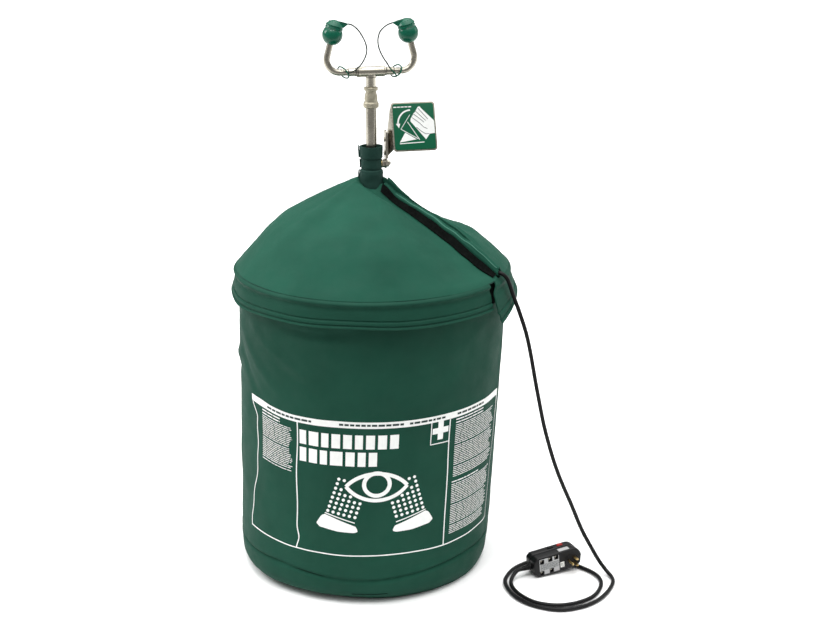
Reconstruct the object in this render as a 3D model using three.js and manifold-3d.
// A portable, heated eyewash station: a pressure tank in a padded jacket, with a ball valve that
// a push flag opens, a riser with two capped spray heads, and a mains lead with a leakage-trip plug.
// Millimetres. X to the user's right, -Y towards the user, Z up; the origin is on the floor at the
// middle of the tank's foot.
import * as THREE from "three";
import { mergeVertices } from "three/addons/utils/BufferGeometryUtils.js";
import Module from "manifold-3d";

const wasm = await Module();
wasm.setup();

// ---- Driving dimensions ----
const GAP = 0.3; // left between pieces that touch

const TANK_R = 212;
const TANK_WALL = 4;
const TANK_SIDES = 24; // facets round the tank and its heater
const TANK_DOME_Z = 500; // where the straight wall ends
const NECK_R = 40;
const NECK_TOP_Z = 606;

const JACKET_TOP_Z = 600;
const JACKET_TOP_R = 267.6;
const JACKET_FOOT_R = 253;
const JACKET_THICK = 14;
const JACKET_LEAN = 20; // the foot stands this far to the left of the rim
const RIM_R = 272; // the hood's rim seam
const RIM_Z = 633;
const HOOD_THICK = 8;
const SLIT_ANGLE = -25; // degrees from +X
const SLIT_WIDTH = 12;
const FLAP_WIDTH = 18; // the flap over the slit
const FLAP_HEIGHT = 15;

const PLUMBING_YAW = 11; // the spray bar's right end stands farther back
const PIPE_R = 10.65; // 1/2 inch pipe, 21.3 outside
const PIPE_BORE_R = 7.9;
const STEM_Z = 832; // height of the ball valve's stem
const BAR_Z = 1014; // height of the spray bar
const ARM_R = 6.35; // 1/2 inch tube
const ARM_BORE_R = 4.9;
const ARM_BEND_R = 25;
const ARM_BEND_X = 61; // where each arm starts to bend upwards
const HEAD_LEAN = 15; // degrees that each head leans inwards
const HEAD_X = 74.2;
const HEAD_Z = 1086.5;
const HEAD_R = 19.9;

const FLAG_WIDTH = 88;
const FLAG_HEIGHT = 97;
const FLAG_LEAN = 20; // degrees that the flag leans away from the user
const FLAG_FOOT = [39.2, -27, 859]; // its lower left corner
const FLAG_SPLAY = 16;
const PLATE = 2;
const LEVER_X = 27; // inner face of the lever strap

const CORD_R = 4;
const PLUG_FOOT = [327.8, -149.8, 0]; // the corner of the plug box that stands on the floor
const PLUG_YAW = 22;
const PLUG_TILT = 5.5; // its far end lies on the lead
const PLUG_LENGTH = 108;
const PLUG_DEPTH = 40;
const PLUG_HEIGHT = 42;
const PLUG_SPLIT = 21; // depth of the front shell

const rad = THREE.MathUtils.degToRad;
const V = (x, y, z) => new THREE.Vector3(x, y, z);

// ---- Materials ----
const stuff = (color, roughness, metalness) =>
  new THREE.MeshStandardMaterial({ color, roughness, metalness });
const steel = stuff(0xb9b7b0, 0.3, 1);
const castSteel = stuff(0x9a9488, 0.5, 0.9);
const brass = stuff(0xb99a4a, 0.35, 1);
const greenFabric = stuff(0x16523c, 0.85, 0);
const darkFabric = stuff(0x0e3a2b, 0.9, 0);
const greenPlastic = stuff(0x0f6b4a, 0.35, 0);
const tetherPlastic = stuff(0x3d6a52, 0.5, 0);
const blackPlastic = stuff(0x151515, 0.45, 0);
const whitePlastic = stuff(0xe8e8e2, 0.5, 0);
const rubber = stuff(0x1c1c1c, 0.8, 0);
const redRubber = stuff(0x9c3a26, 0.7, 0);
const glass = stuff(0xdfe8ea, 0.05, 0);

// ---- Shape helpers ----
const at = (geometry, x, y, z) => geometry.translate(x, y, z);

// A solid of revolution about Z. The profile runs anticlockwise in (radius, height).
function turned(profile, segments = 16) {
  const points = profile.map(([r, z]) => new THREE.Vector2(r, z));
  return new THREE.LatheGeometry(points, segments).rotateX(Math.PI / 2);
}

function ring(inner, outer, low, high, segments = 16) {
  const profile = [
    [inner, low],
    [outer, low],
    [outer, high],
    [inner, high],
    [inner, low],
  ];
  return turned(profile, segments);
}

function rod(radius, low, high, segments = 16) {
  return turned(
    [
      [0, low],
      [radius, low],
      [radius, high],
      [0, high],
    ],
    segments,
  );
}

const hexagon = (acrossFlats, low, high) =>
  rod(acrossFlats / Math.sqrt(3), low, high, 6);

const block = (x0, x1, y0, y1, z0, z1) =>
  at(new THREE.BoxGeometry(x1 - x0, y1 - y0, z1 - z0), (x0 + x1) / 2, (y0 + y1) / 2, (z0 + z1) / 2);

// Turns a piece made along +Z so that it lies along +X.
const alongX = (geometry) => geometry.rotateY(Math.PI / 2);

// A flat outline of [x, y] corners, pushed up by thick.
function slab(outline, thick) {
  const shape = new THREE.Shape(outline.map(([x, y]) => new THREE.Vector2(x, y)));
  return new THREE.ExtrudeGeometry(shape, { depth: thick, bevelEnabled: false });
}

function roundedRectangle(width, height, radius, segments = 5) {
  const outline = [];
  const centres = [
    [width - radius, radius],
    [width - radius, height - radius],
    [radius, height - radius],
    [radius, radius],
  ];
  centres.forEach(([x, y], corner) => {
    for (let i = 0; i <= segments; i++) {
      const angle = rad(-90 + corner * 90 + (i / segments) * 90);
      outline.push([x + radius * Math.cos(angle), y + radius * Math.sin(angle)]);
    }
  });
  return outline;
}

function circleShape(radius, sides) {
  const shape = new THREE.Shape();
  for (let i = 0; i < sides; i++) {
    const angle = (i / sides) * 2 * Math.PI;
    const go = i ? "lineTo" : "moveTo";
    shape[go](radius * Math.cos(angle), radius * Math.sin(angle));
  }
  return shape;
}

// A round bar swept along a curve.
function swept(curve, radius, sides, steps) {
  return new THREE.ExtrudeGeometry(circleShape(radius, sides), {
    steps,
    bevelEnabled: false,
    extrudePath: curve,
  });
}

const curveThrough = (points) =>
  new THREE.CatmullRomCurve3(points.map(([x, y, z]) => V(x, y, z)), false, "centripetal");

function toSolid(geometry) {
  const bare = geometry.clone();
  bare.deleteAttribute("normal");
  bare.deleteAttribute("uv");
  const merged = mergeVertices(bare, 1e-4);
  return new wasm.Manifold(
    new wasm.Mesh({
      numProp: 3,
      vertProperties: merged.attributes.position.array,
      triVerts: new Uint32Array(merged.index.array),
    }),
  );
}

function toGeometry(solid) {
  const mesh = solid.getMesh();
  const geometry = new THREE.BufferGeometry();
  geometry.setAttribute("position", new THREE.BufferAttribute(mesh.vertProperties, 3));
  geometry.setIndex(new THREE.BufferAttribute(mesh.triVerts, 1));
  return geometry.toNonIndexed();
}

// Joins the first list of geometries and cuts the second list out of them.
function joined(bodies, cuts = []) {
  let solid = toSolid(bodies[0]);
  for (const body of bodies.slice(1)) {
    solid = solid.add(toSolid(body));
  }
  for (const cut of cuts) {
    solid = solid.subtract(toSolid(cut));
  }
  return toGeometry(solid);
}

function mesh(name, geometry, material) {
  const made = new THREE.Mesh(geometry, material);
  made.name = name;
  return made;
}

// ---- Tank ----
const HEAD_TOP_Z = 621;
const HEAD_HUB_Z = 640;

function makeTank() {
  const tank = new THREE.Group();
  const inside = TANK_R - TANK_WALL;
  const shell = turned(
    [
      [0, 40],
      [150, 44],
      [196, 60],
      [196, 0],
      [201, 0],
      [201, 64],
      [TANK_R, 92],
      [TANK_R, TANK_DOME_Z],
      [190, 552],
      [120, 583],
      [NECK_R, 592],
      [NECK_R, NECK_TOP_Z],
      [33, NECK_TOP_Z],
      [33, 589],
      [118, 579],
      [186, 550],
      [inside, TANK_DOME_Z],
      [inside, 94],
      [192, 66],
      [148, 48],
      [0, 44],
    ],
    TANK_SIDES,
  );
  tank.add(mesh("tank_shell", shell, steel));
  tank.add(mesh("head_gasket", ring(33, 50, NECK_TOP_Z + GAP, NECK_TOP_Z + 2.7, 20), redRubber));

  const plate = NECK_TOP_Z + 3;
  const head = turned(
    [
      [9.6, 586],
      [30, 586],
      [30, plate],
      [66, plate],
      [66, HEAD_TOP_Z],
      [18, HEAD_TOP_Z],
      [18, HEAD_HUB_Z],
      [PIPE_R + GAP, HEAD_HUB_Z],
      [PIPE_R + GAP, HEAD_TOP_Z + 1],
      [9.6, HEAD_TOP_Z + 1],
      [9.6, 586],
    ],
    20,
  );
  tank.add(mesh("tank_head", head, castSteel));
  tank.add(mesh("dip_tube", ring(7, 9.2, 56, HEAD_TOP_Z - 1, 16), whitePlastic));

  tank.add(mesh("heater_band", ring(TANK_R + 0.8, TANK_R + 4, 150, 420, TANK_SIDES), redRubber));
  tank.add(...makeThermostat(), ...makeGauge(), ...makeSmallFittings());
  return tank;
}

function makeThermostat() {
  const box = block(TANK_R + 5.2, TANK_R + 24, -30, 30, 330, 410).rotateZ(rad(SLIT_ANGLE));
  const lead = curveThrough([
    [228, 0, 410 + GAP],
    [228, 0, 440],
    [231, 0, 520],
    [236, 0, 580],
    [241, 0, 612],
    [249, 0, 632],
    [262, 0, 640.8],
    [268, 0, 640],
  ]);
  const cord = swept(lead, CORD_R, 8, 12).rotateZ(rad(SLIT_ANGLE));
  return [mesh("thermostat_box", box, blackPlastic), mesh("heater_lead", cord, rubber)];
}

const GAUGE = [-40, -16, 668]; // the middle of the dial
const GAUGE_R = 22;

function makeGauge() {
  const [x, y, z] = GAUGE;
  const cup = turned(
    [
      [0, -10],
      [GAUGE_R, -10],
      [GAUGE_R, 10],
      [GAUGE_R - 2, 10],
      [GAUGE_R - 2, 2],
      [1.2, 2],
      [1.2, -4],
      [0, -4],
    ],
    20,
  ).rotateX(Math.PI / 2);
  const stem = hexagon(12, HEAD_TOP_Z + GAP - z, 1.2 - GAUGE_R);
  const body = at(joined([cup, stem]), x, y, z);
  const lens = at(rod(GAUGE_R - 2.4, 7, 8.5, 20).rotateX(Math.PI / 2), x, y, z);
  const pointer = slab(
    [
      [-1.6, -5],
      [1.6, -5],
      [0.6, 15],
      [-0.6, 15],
    ],
    0.8,
  ).translate(0, 0, 3.4);
  const needle = joined([pointer, rod(0.9, -3.5, 4.5, 10)])
    .rotateX(Math.PI / 2)
    .rotateY(rad(-135));
  return [
    mesh("pressure_gauge", body, steel),
    mesh("gauge_lens", lens, glass),
    mesh("gauge_needle", at(needle, x, y, z), blackPlastic),
  ];
}

const RELIEF = [38, -14];
const AIR = [24, 38];
const FILLER = [-16, 42];

function makeSmallFittings() {
  const base = HEAD_TOP_Z + GAP;
  const reliefBody = turned([
    [2.3, base],
    [8, base],
    [8, base + 8],
    [6.5, base + 10],
    [6.5, base + 26],
    [2.3, base + 26],
    [2.3, base],
  ]);
  const pullStem = rod(1.8, base + 6, base + 34, 10);
  const pullRing = new THREE.TorusGeometry(8, 1.3, 6, 14)
    .rotateX(Math.PI / 2)
    .translate(0, 0, base + 41);
  const airBody = turned([
    [0, base],
    [5, base],
    [5, base + 8],
    [3.4, base + 10],
    [3.4, base + 24],
    [0, base + 24],
  ]);
  const airCap = turned([
    [3.9, base + 16],
    [4.9, base + 16],
    [4.9, base + 28],
    [0, base + 28],
    [0, base + 24.6],
    [3.9, base + 24.6],
    [3.9, base + 16],
  ]);
  const fillerCap = joined([rod(14, base, base + 10, 16), hexagon(18, base + 9, base + 19)]);
  return [
    mesh("relief_valve", at(reliefBody, ...RELIEF, 0), brass),
    mesh("relief_ring", at(joined([pullStem, pullRing]), ...RELIEF, 0), steel),
    mesh("air_valve", at(airBody, ...AIR, 0), brass),
    mesh("air_valve_cap", at(airCap, ...AIR, 0), blackPlastic),
    mesh("filler_cap", at(fillerCap, ...FILLER, 0), brass),
  ];
}

// ---- Ball valve and its push flag ----
const BALL_R = 11.5;
const VALVE_R = 17;

function makeValve() {
  const low = STEM_Z - 36;
  const high = STEM_Z + 24;
  const outside = turned([
    [0, low],
    [15, low],
    [15, low + 14],
    [VALVE_R, low + 18],
    [VALVE_R, high - 10],
    [15, high - 8],
    [15, high],
    [0, high],
  ]);
  const boss = alongX(rod(8, 12, 20)).translate(0, 0, STEM_Z);
  const chamber = rod(13, STEM_Z - 16, STEM_Z + 16);
  const lowSocket = rod(PIPE_R + GAP, low - 1, STEM_Z - 18);
  const highSocket = rod(PIPE_R + GAP, STEM_Z + 18, high + 1);
  const waterway = rod(7.5, low, high);
  const stemHole = alongX(rod(4.3, 5, 25)).translate(0, 0, STEM_Z);
  const body = joined([outside, boss], [chamber, lowSocket, highSocket, waterway, stemHole]);

  const ballBore = rod(7, -20, 20, 12).rotateX(Math.PI / 2);
  const slot = block(8.5, 20, -3, 3, -10, 10);
  const ball = joined([new THREE.SphereGeometry(BALL_R, 16, 8)], [ballBore, slot]);
  // The stem's tang sits in the ball's slot, and turns with it inside the chamber.
  const stem = alongX(joined([rod(4, 11.4, 37), block(-4, 4, -2.6, 2.6, 9, 11.6)]));

  const seat = (side) => {
    const profile = [
      [8, 8.8],
      [12.4, 8.8],
      [12.4, 15.6],
      [8, 15.6],
      [8, 8.8],
    ];
    const made = turned(profile);
    return side > 0 ? at(made, 0, 0, STEM_Z) : at(made.rotateX(Math.PI), 0, 0, STEM_Z);
  };
  const nut = joined([hexagon(15, 20 + GAP, 26.5)], [rod(4.4, 19, 28)]);
  return {
    fixed: [
      mesh("ball_valve_body", body, brass),
      mesh("valve_seat_lower", seat(-1), whitePlastic),
      mesh("valve_seat_upper", seat(1), whitePlastic),
      mesh("packing_nut", at(alongX(nut), 0, 0, STEM_Z), steel),
    ],
    moving: [
      mesh("valve_ball", at(ball, 0, 0, STEM_Z), steel),
      mesh("valve_stem", at(stem, 0, 0, STEM_Z), steel),
    ],
  };
}

const LEVER_TOP_Z = 898;
const RIVET_Z = [853, 880];

function makeLever() {
  const holes = RIVET_Z.map((z) => alongX(rod(3, 20, 40, 12)).translate(0, 0, z));
  const stemHole = alongX(rod(4.3, 20, 40, 16)).translate(0, 0, STEM_Z);
  const strap = joined(
    [
      block(LEVER_X, LEVER_X + 2.5, -10, 10, STEM_Z, LEVER_TOP_Z),
      alongX(rod(10, LEVER_X, LEVER_X + 2.5, 16)).translate(0, 0, STEM_Z),
    ],
    [stemHole, ...holes],
  );
  const nutStart = LEVER_X + 2.5 + GAP;
  const nut = joined([hexagon(13, nutStart, nutStart + 5)], [rod(4.3, 20, 40, 16)]);
  const rivet = (z) => {
    const made = turned(
      [
        [0, 24.6],
        [4.5, 24.6],
        [4.5, 26.7],
        [2.7, 26.7],
        [2.7, 32.1],
        [5, 32.1],
        [5, 34],
        [0, 34],
      ],
      12,
    );
    return alongX(made).translate(0, 0, z);
  };
  return [
    mesh("valve_lever", strap, steel),
    mesh("lever_nut", at(alongX(nut), 0, 0, STEM_Z), steel),
    mesh("flag_rivet_lower", rivet(RIVET_Z[0]), steel),
    mesh("flag_rivet_upper", rivet(RIVET_Z[1]), steel),
  ];
}

// The flag is one folded sheet: the plate, a splayed side flange, and a pad on the lever strap.
function makeFlag() {
  const lean = rad(FLAG_LEAN);
  const splay = rad(FLAG_SPLAY);
  const [x, y, z] = FLAG_FOOT;
  const up = V(0, Math.sin(lean), Math.cos(lean));
  const back = V(0, Math.cos(lean), -Math.sin(lean));
  const side = V(-Math.sin(splay), 0, 0).addScaledVector(back, Math.cos(splay));

  const place = (geometry, first, second, origin) => {
    const normal = new THREE.Vector3().crossVectors(first, second);
    const matrix = new THREE.Matrix4().makeBasis(first, second, normal).setPosition(origin);
    return geometry.applyMatrix4(matrix);
  };
  const foot = V(x, y, z);
  // Local X to the right and Y up the plate, so its thickness grows towards the user.
  const plate = place(
    slab(roundedRectangle(FLAG_WIDTH, FLAG_HEIGHT, 6), PLATE),
    V(1, 0, 0),
    up,
    foot,
  );
  const flange = place(
    slab(
      [
        [7, -1],
        [FLAG_HEIGHT - 8, -1],
        [62, 15],
        [21, 34],
        [-3, 34],
      ],
      PLATE,
    ),
    up,
    side,
    foot.clone().add(V(PLATE, 0, 0)),
  );
  const padStart = LEVER_X + 2.5 + GAP;
  const pad = block(padStart, padStart + 2.2, -9, 11, 843, 890);
  const holes = RIVET_Z.flatMap((height) => [
    alongX(rod(3, 20, 33, 12)).translate(0, 0, height),
    alongX(rod(5.6, padStart + 2.2, 45, 12)).translate(0, 0, height),
  ]);
  const strapRoom = block(LEVER_X - 10, padStart, -60, 60, 800, 960);
  const flag = joined([plate, flange, pad], [...holes, strapRoom]);

  const sign = place(
    slab(roundedRectangle(FLAG_WIDTH - 4, FLAG_HEIGHT - 4, 4.5), 0.8),
    V(1, 0, 0),
    up,
    foot
      .clone()
      .add(V(2, 0, 0))
      .addScaledVector(up, 2)
      .addScaledVector(back, -PLATE - GAP),
  );
  return [mesh("push_flag", flag, steel), mesh("flag_sign", sign, greenPlastic)];
}

// ---- Riser, spray bar and heads ----
function makeRiser() {
  const nipple = ring(PIPE_BORE_R, PIPE_R, HEAD_TOP_Z + 2, STEM_Z - 19);
  const riser = ring(PIPE_BORE_R, PIPE_R, STEM_Z + 19, 962);
  const coupling = turned([
    [PIPE_R + GAP, 943.5],
    [15.1, 943.5],
    [15.1, 954],
    [12.4, 957],
    [12.4, 968],
    [11.2, 972],
    [13.3, 978],
    [13.3, 984],
    [9.95, 984],
    [9.95, 970],
    [7.9, 970],
    [7.9, 963],
    [PIPE_R + GAP, 963],
    [PIPE_R + GAP, 943.5],
  ]);
  const bar = alongX(rod(10.25, -26, 26)).translate(0, 0, BAR_Z);
  const branch = rod(9.65, 971, BAR_Z);
  const barBore = alongX(rod(8, -30, 30)).translate(0, 0, BAR_Z);
  const branchBore = rod(7, 960, BAR_Z);
  const tee = joined([bar, branch], [barBore, branchBore]);
  return [
    mesh("nipple", nipple, steel),
    mesh("riser_pipe", riser, steel),
    mesh("reducing_coupling", coupling, castSteel),
    mesh("tee", tee, steel),
  ];
}

// The centre line of the right-hand arm, from inside its bushing up into its spray head.
function armCurve() {
  const lean = rad(HEAD_LEAN);
  const bendZ = BAR_Z + ARM_BEND_R;
  const onBend = (angle) =>
    V(ARM_BEND_X + ARM_BEND_R * Math.cos(angle), 0, bendZ + ARM_BEND_R * Math.sin(angle));
  const points = [V(24, 0, BAR_Z), V(42, 0, BAR_Z)];
  for (let i = 0; i <= 6; i++) {
    points.push(onBend(-Math.PI / 2 + (i / 6) * (Math.PI / 2 + lean)));
  }
  points.push(V(HEAD_X + 12 * Math.sin(lean), 0, HEAD_Z - 12 * Math.cos(lean)));
  return new THREE.CatmullRomCurve3(points, false, "centripetal");
}

function makeSide(name, mirror) {
  const side = new THREE.Group();
  const flip = (geometry) => (mirror ? geometry.rotateZ(Math.PI) : geometry);
  const bushing = alongX(ring(ARM_R + GAP, 7.7, 16, 45)).translate(0, 0, BAR_Z);
  const arm = joined([swept(armCurve(), ARM_R, 8, 12)], [swept(armCurve(), ARM_BORE_R, 6, 12)]);
  side.add(mesh(`bushing_${name}`, flip(bushing), steel));
  side.add(mesh(`arm_${name}`, flip(arm), steel));

  // The pieces of the head are made upright about its centre, then leaned and moved into place.
  const lean = (geometry) =>
    flip(geometry.rotateY(rad(-HEAD_LEAN)).translate(HEAD_X, 0, HEAD_Z));
  side.add(mesh(`spray_head_${name}`, lean(headGeometry()), greenPlastic));
  side.add(mesh(`spray_disc_${name}`, lean(discGeometry()), whitePlastic));
  side.add(mesh(`cap_${name}`, lean(capGeometry()), greenPlastic));
  return side;
}

function headGeometry() {
  const profile = [];
  for (let i = 0; i <= 6; i++) {
    const angle = rad(-70 + i * 16);
    profile.push([HEAD_R * Math.cos(angle), HEAD_R * Math.sin(angle)]);
  }
  profile.push(
    [17.9, 11],
    [17.2, 14],
    [16.6, 17],
    [14.6, 17],
    [14.6, 12.6],
    [12.2, 12.6],
    [12.2, 8],
    [16, 2],
    [14, -8],
    [6.8, -13],
    profile[0],
  );
  return turned(profile, 14);
}

function discGeometry() {
  const holes = [rod(1.3, 10, 20, 6)];
  for (let i = 0; i < 6; i++) {
    holes.push(at(rod(1.3, 10, 20, 6), 8, 0, 0).rotateZ(rad(i * 60)));
  }
  return joined([rod(14, 13, 15.2)], holes);
}

function capGeometry() {
  const dome = turned(
    [
      [15, 17.3],
      [17.8, 17.3],
      [18, 21],
      [15.6, 25.4],
      [10, 29.4],
      [0, 31],
      [0, 28.8],
      [9, 27.4],
      [13.6, 24],
      [15, 20.5],
      [15, 17.3],
    ],
  );
  const tab = block(-24, -14.5, -4, 4, 24.6, 27);
  return joined([dome, tab]);
}

// Each tether springs from its cap's tab to a loop round the arm.
const TETHER_LEFT = [
  [-43.6, -0.8, 1106.6],
  [-35.8, -1.2, 1104.3],
  [-25.2, -2, 1095.5],
  [-16.6, -3, 1082.8],
  [-9.9, -4, 1067.3],
  [-8.4, -5, 1055.8],
  [-12.1, -6.5, 1042.4],
  [-21, -9.5, 1029.2],
  [-32.9, -12, 1019],
  [-43, -12.5, 1014.2],
];
const TETHER_RIGHT = [
  [43.6, -0.8, 1106.6],
  [36.4, -1.2, 1104.4],
  [26.6, -2, 1099],
  [17.7, -3, 1089.5],
  [13.7, -4, 1074.3],
  [15.6, -5.5, 1058.9],
  [22.3, -7.5, 1043.2],
  [30.2, -10.5, 1030.4],
  [35.6, -12.5, 1021.5],
];

function makeTethers() {
  const loop = (x, tilt) =>
    new THREE.TorusGeometry(10, 1.1, 6, 14).rotateY(rad(90 + tilt)).translate(x, 0, BAR_Z);
  const tether = (points) => swept(curveThrough(points), 1.1, 8, 16);
  return [
    mesh("tether_left", tether(TETHER_LEFT), tetherPlastic),
    mesh("tether_right", tether(TETHER_RIGHT), tetherPlastic),
    mesh("tether_loop_left", loop(-54, 20), tetherPlastic),
    mesh("tether_loop_right", loop(50, -20), tetherPlastic),
  ];
}

function makePlumbing() {
  const plumbing = new THREE.Group();
  plumbing.rotation.z = rad(PLUMBING_YAW);
  const valve = makeValve();
  plumbing.add(...valve.fixed, ...valve.moving, ...makeLever(), ...makeFlag(), ...makeRiser());
  plumbing.add(makeSide("right", false), makeSide("left", true), ...makeTethers());
  return plumbing;
}

// ---- Insulated cover ----
function slitBox(inner, outer, width, low, high) {
  return block(inner, outer, -width / 2, width / 2, low, high).rotateZ(rad(SLIT_ANGLE));
}

// The cone's outer profile, from the rim up to the neck, as [radius, height].
const CONE_PROFILE = [
  [RIM_R, RIM_Z],
  [258, 649],
  [236, 672],
  [214, 697],
  [182, 727],
  [132, 755],
  [84, 780],
  [56, 793],
  [36, 802],
];
const CONE_NECK_R = 24.5;

// How far the slack cloth hangs below that cone, over the radius: just in front of the slit, where
// it runs straight from the neck to the rim, and behind it.
const SLACK_FRONT = [
  [24, 16],
  [45, 30],
  [91, 34],
  [143, 38],
  [198, 38],
  [240, 16],
  [253, 4],
  [262, 0],
];
const SLACK_BACK = [
  [24, 0],
  [40, 9],
  [60, 23],
  [90, 41],
  [120, 48],
  [150, 43],
  [181, 33],
  [212, 14],
  [239, 4],
  [262, 0],
];

function slackDepth(table, radius) {
  const next = table.findIndex(([r]) => r >= radius);
  if (next <= 0) {
    return table[next ? table.length - 1 : 0][1];
  }
  const [r0, d0] = table[next - 1];
  const [r1, d1] = table[next];
  return d0 + ((d1 - d0) * (radius - r0)) / (r1 - r0);
}

// Lowers a piece of the hood by the slack. Angles are turned from the front towards the slit.
function settled(geometry) {
  const { smoothstep, radToDeg } = THREE.MathUtils;
  const place = geometry.attributes.position;
  for (let i = 0; i < place.count; i++) {
    const x = place.getX(i);
    const y = place.getY(i);
    const radius = Math.hypot(x, y);
    const turn = radToDeg(Math.atan2(x, -y));
    const pastBack = turn < -90 ? turn + 360 : turn;
    const front = smoothstep(turn, 8, 56) * (1 - smoothstep(turn, 62, 84));
    const back = smoothstep(turn, 60, 92) * (1 - smoothstep(pastBack, 145, 200));
    const drop = front * slackDepth(SLACK_FRONT, radius) + back * slackDepth(SLACK_BACK, radius);
    place.setZ(i, place.getZ(i) - drop);
  }
  return geometry;
}

function makeCover() {
  const jacketWall = turned(
    [
      [JACKET_FOOT_R - JACKET_THICK, 0],
      [JACKET_FOOT_R, 0],
      [JACKET_FOOT_R + 4, 150],
      [JACKET_FOOT_R + 8, 320],
      [JACKET_TOP_R, JACKET_TOP_Z],
      [JACKET_TOP_R - JACKET_THICK, JACKET_TOP_Z],
      [JACKET_FOOT_R + 8 - JACKET_THICK, 320],
      [JACKET_FOOT_R + 4 - JACKET_THICK, 150],
      [JACKET_FOOT_R - JACKET_THICK, 0],
    ],
    36,
  );
  const place = jacketWall.attributes.position;
  for (let i = 0; i < place.count; i++) {
    const rise = Math.min(1, place.getZ(i) / JACKET_TOP_Z);
    place.setX(i, place.getX(i) - JACKET_LEAN * (1 - rise) ** 1.5);
  }

  const inner = CONE_PROFILE.map(([r, z]) => [r - HOOD_THICK, z - HOOD_THICK * 0.4]).reverse();
  inner[0] = [CONE_NECK_R, 793];
  inner[inner.length - 1] = [RIM_R - HOOD_THICK, RIM_Z];
  const cone = joined(
    [settled(turned([...CONE_PROFILE, [CONE_NECK_R, 805], ...inner, CONE_PROFILE[0]], 32))],
    [slitBox(20, 300, SLIT_WIDTH, 600, 820)],
  );
  const skirt = joined(
    [
      turned(
        [
          [RIM_R - 3.2, RIM_Z - GAP],
          [RIM_R - 3.2, RIM_Z - 12],
          [283, 579],
          [287, 579],
          [RIM_R + 2, RIM_Z - 8],
          [RIM_R + 1, RIM_Z - GAP],
          [RIM_R - 3.2, RIM_Z - GAP],
        ],
        36,
      ),
    ],
    [slitBox(200, 320, SLIT_WIDTH, 560, 660)],
  );

  // The flap is a stiff ridge that closes over the slit, from the neck almost to the rim.
  const flapLine = [[250, 657], ...CONE_PROFILE.slice(2, 8)].map(([r, z]) => [r, z + 3.5]);
  const flapOutline = [...flapLine, ...flapLine.map(([r, z]) => [r + 4, z + FLAP_HEIGHT]).reverse()];
  const flap = settled(
    slab(flapOutline, FLAP_WIDTH)
      .rotateX(Math.PI / 2)
      .translate(0, FLAP_WIDTH / 2, 0)
      .rotateZ(rad(SLIT_ANGLE)),
  );

  const sleeveWall = turned([
    [18.6, 778],
    [23.6, 778],
    [22.4, 800],
    [22.4, 822],
    [19.9, 826],
    [19.9, 841],
    [22.2, 844],
    [22.2, 868],
    [18.6, 868],
    [18.6, 778],
  ]);
  const window = alongX(rod(9.5, 10, 40, 16)).translate(0, 0, STEM_Z).rotateZ(rad(PLUMBING_YAW));
  const sleeve = joined([sleeveWall], [window]);
  return [
    mesh("jacket_body", jacketWall, greenFabric),
    mesh("hood_cone", cone, greenFabric),
    mesh("hood_skirt", skirt, greenFabric),
    mesh("hood_flap", flap, greenFabric),
    mesh("neck_sleeve", sleeve, darkFabric),
  ];
}

// ---- Mains lead and plug ----
const CORD_ROUTE = [
  [243.2, -113.4, 640],
  [248.6, -115.9, 639.2],
  [255, -117.8, 636],
  [260.5, -118.4, 630],
  [264.8, -118.2, 621.5],
  [269, -117.6, 609],
  [276, -117, 589],
  [286, -116.5, 562],
  [303, -116, 508],
  [325, -116, 397],
  [343, -116, 312],
  [369, -116, 225],
  [402, -117, 145],
  [424, -118, 92],
  [443, -121, 56],
  [460, -127, 27],
  [474, -137, 10],
  [482, -152, 4.6],
  [483, -172, 4.1],
  [474, -200, 4.1],
  [458, -230.5, 4.1],
  [437, -257, 4.1],
  [407, -279, 4.1],
  [362, -291, 4.1],
  [314, -273.5, 4.1],
  [284, -243, 4.1],
  [268, -205, 4.1],
  [264, -166, 4.1],
  [272, -138, 4.1],
  [288, -110, 4.1],
  [311, -88, 4.1],
  [342, -71, 4.1],
  [374, -66, 4.1],
  [396, -76, 4.1],
  [411, -92, 4.1],
  [426, -109, 4.1],
  [442, -127, 4.1],
  [454, -148, 4.1],
  [458, -174, 4.1],
  [450, -208, 4.1],
  [430, -241, 4.1],
  [392, -266, 4.1],
  [353, -272, 4.1],
  [318, -260, 4.1],
  [293, -233, 4.1],
  [278, -200, 4.5],
  [275, -174, 6.5],
  [283, -153, 12],
];
const RELIEF_LENGTH = 20;

function plugGroup() {
  const plug = new THREE.Group();
  plug.position.set(...PLUG_FOOT);
  plug.rotation.set(0, rad(-PLUG_TILT), rad(PLUG_YAW), "ZYX");
  plug.updateMatrixWorld(true);
  return plug;
}

// The box's outline seen from the side that the blades are on, as [along, up].
function plugOutline(inset) {
  const right = PLUG_LENGTH - inset;
  const top = PLUG_HEIGHT - inset;
  const radius = 19 - inset;
  const outline = [
    [inset + 8, inset],
    [PLUG_LENGTH - 12, inset],
    [right - 3, inset + 7],
  ];
  for (let i = 0; i <= 5; i++) {
    const angle = rad((i / 5) * 90);
    outline.push([
      right - radius + radius * Math.cos(angle),
      top - radius + radius * Math.sin(angle),
    ]);
  }
  outline.push([inset + 7, top], [inset, top - 7], [inset, inset + 8]);
  return outline;
}

const WALL = 2.4;

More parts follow.
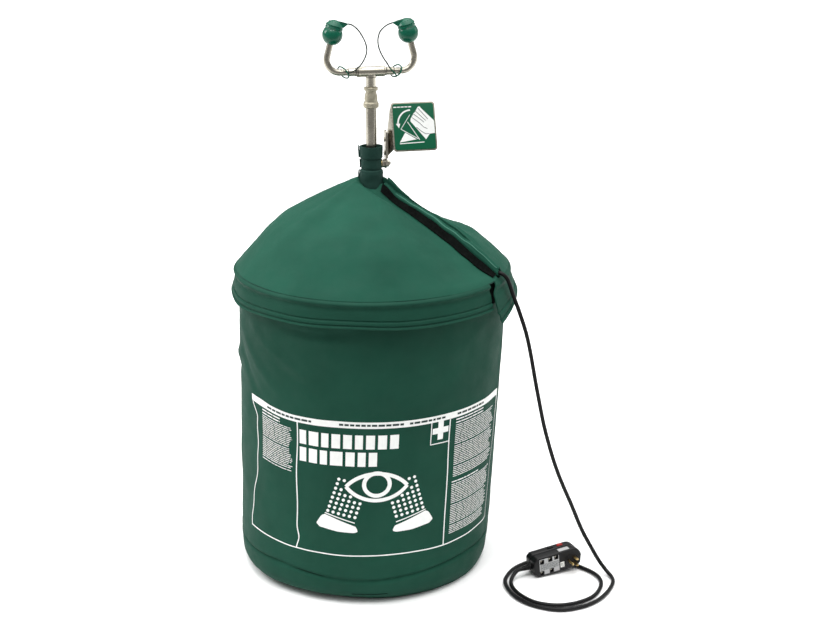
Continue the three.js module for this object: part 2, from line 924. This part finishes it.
function makePlug() {
  const plug = plugGroup();
  const standing = (outline, near, far) =>
    slab(outline, far - near)
      .rotateX(Math.PI / 2)
      .translate(0, far, 0);
  const entry = alongX(rod(5.6, -10, 10, 12)).translate(0, 18, 20);
  const front = joined(
    [standing(plugOutline(0), 0, PLUG_SPLIT)],
    [standing(plugOutline(WALL), WALL, PLUG_SPLIT + 1), entry],
  );
  const back = joined(
    [standing(plugOutline(0), PLUG_SPLIT + GAP, PLUG_DEPTH)],
    [
      standing(plugOutline(WALL), PLUG_SPLIT, PLUG_DEPTH - WALL),
      ...[46, 68].map((x) => block(x - 0.6, x + 12.6, 26.4, 34.6, PLUG_HEIGHT - 6, PLUG_HEIGHT + 1)),
      entry,
    ],
  );
  const relief = turned(
    [
      [0, -6],
      [5, -6],
      [5, 0],
      [6.4, 1],
      [6.4, 4],
      [4.6, RELIEF_LENGTH],
      [0, RELIEF_LENGTH],
    ],
    16,
  );
  const button = (x) => block(x, x + 12, 27, 34, PLUG_HEIGHT - 5, PLUG_HEIGHT + 2);
  plug.add(
    mesh("gfci_front_shell", front, blackPlastic),
    mesh("gfci_back_shell", back, blackPlastic),
    mesh("cord_relief", at(alongX(relief).rotateZ(Math.PI), 0, 18, 20), rubber),
    mesh("blade_lower", block(86.8, 93.2, -18, -GAP, 11.2, 12.8), brass),
    mesh("blade_upper", block(86.8, 93.2, -18, -GAP, 23.9, 25.5), brass),
    mesh("ground_pin", at(rod(2.4, GAP, 21, 12).rotateX(Math.PI / 2), 78, 0, 18.4), brass),
    mesh("test_button", button(46), blackPlastic),
    mesh("reset_button", button(68), redRubber),
    mesh("circuit_board", block(8, 82, 15, 16.6, 6, 34), greenPlastic),
  );
  return plug;
}

function makeCord() {
  const plug = plugGroup();
  const tip = V(-RELIEF_LENGTH - GAP, 18, 20).applyMatrix4(plug.matrixWorld);
  const before = V(-RELIEF_LENGTH - 10, 18, 20).applyMatrix4(plug.matrixWorld);
  const route = [...CORD_ROUTE, before.toArray(), tip.toArray()];
  return mesh("power_cord", swept(curveThrough(route), CORD_R, 8, 76), rubber);
}

const station = new THREE.Group();
station.add(makeTank(), makePlumbing(), ...makeCover(), makeCord(), makePlug());

export default station;
